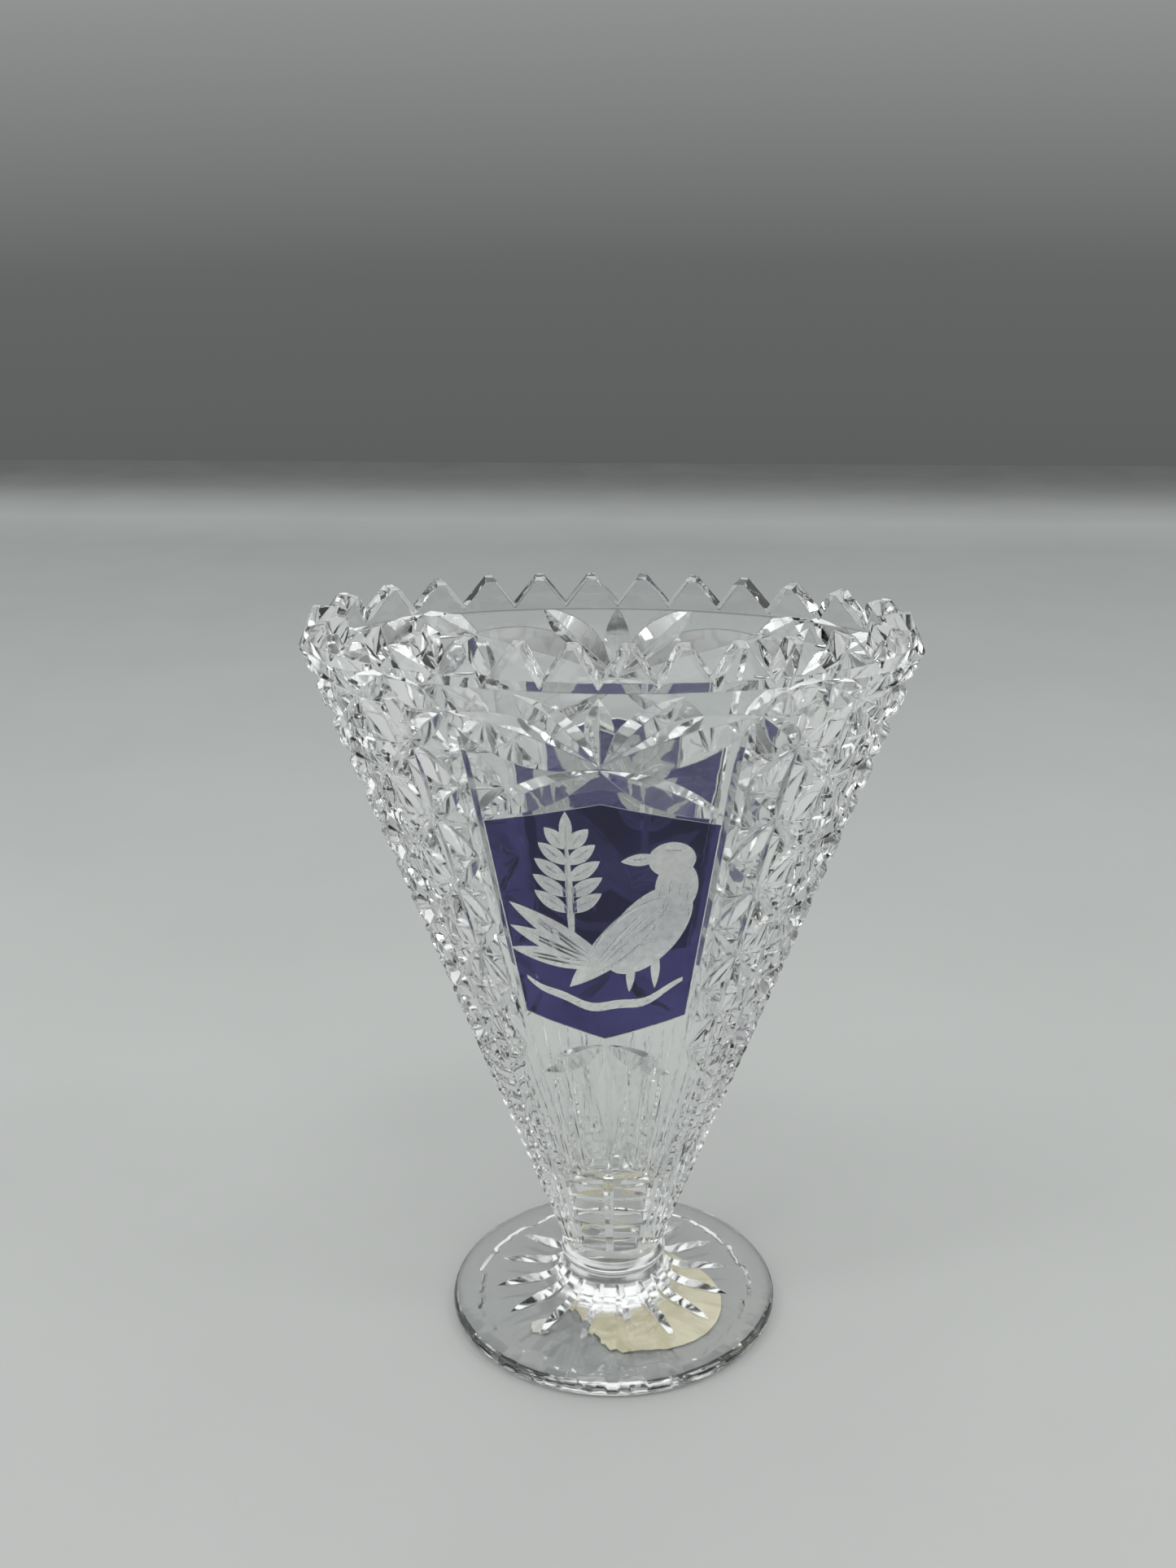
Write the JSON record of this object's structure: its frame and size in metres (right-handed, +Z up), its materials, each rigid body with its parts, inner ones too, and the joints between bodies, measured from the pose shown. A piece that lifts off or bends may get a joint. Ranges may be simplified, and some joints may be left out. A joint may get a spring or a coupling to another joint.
{
  "type": "vase",
  "caption": "Oval fan-shaped cut crystal vase with a toothed rim, star-cut sides, blue stained bird panels and a round glass foot.",
  "frame": {"origin": "middle of the foot's underside, at the table", "axes": "+Z up out of the mouth, +X along the bowl's wide way, -Y towards the front panel"},
  "size_m": [0.115, 0.067, 0.15],
  "materials": {
    "crystal_bowl": "clear polished lead crystal, cut",
    "crystal_collar": "clear polished lead crystal",
    "crystal_foot": "clear polished lead crystal, cut",
    "blue_stain": "thin transparent violet-blue stained layer, polished",
    "label_paper": "matt, aged pale yellow, blank"
  },
  "bodies": {
    "root": {"bowl": "crystal_bowl", "joining_collar": "crystal_collar", "foot": "crystal_foot", "front_blue_panel": "blue_stain", "back_blue_panel": "blue_stain", "base_label": "label_paper"}
  },
  "joints": []
}
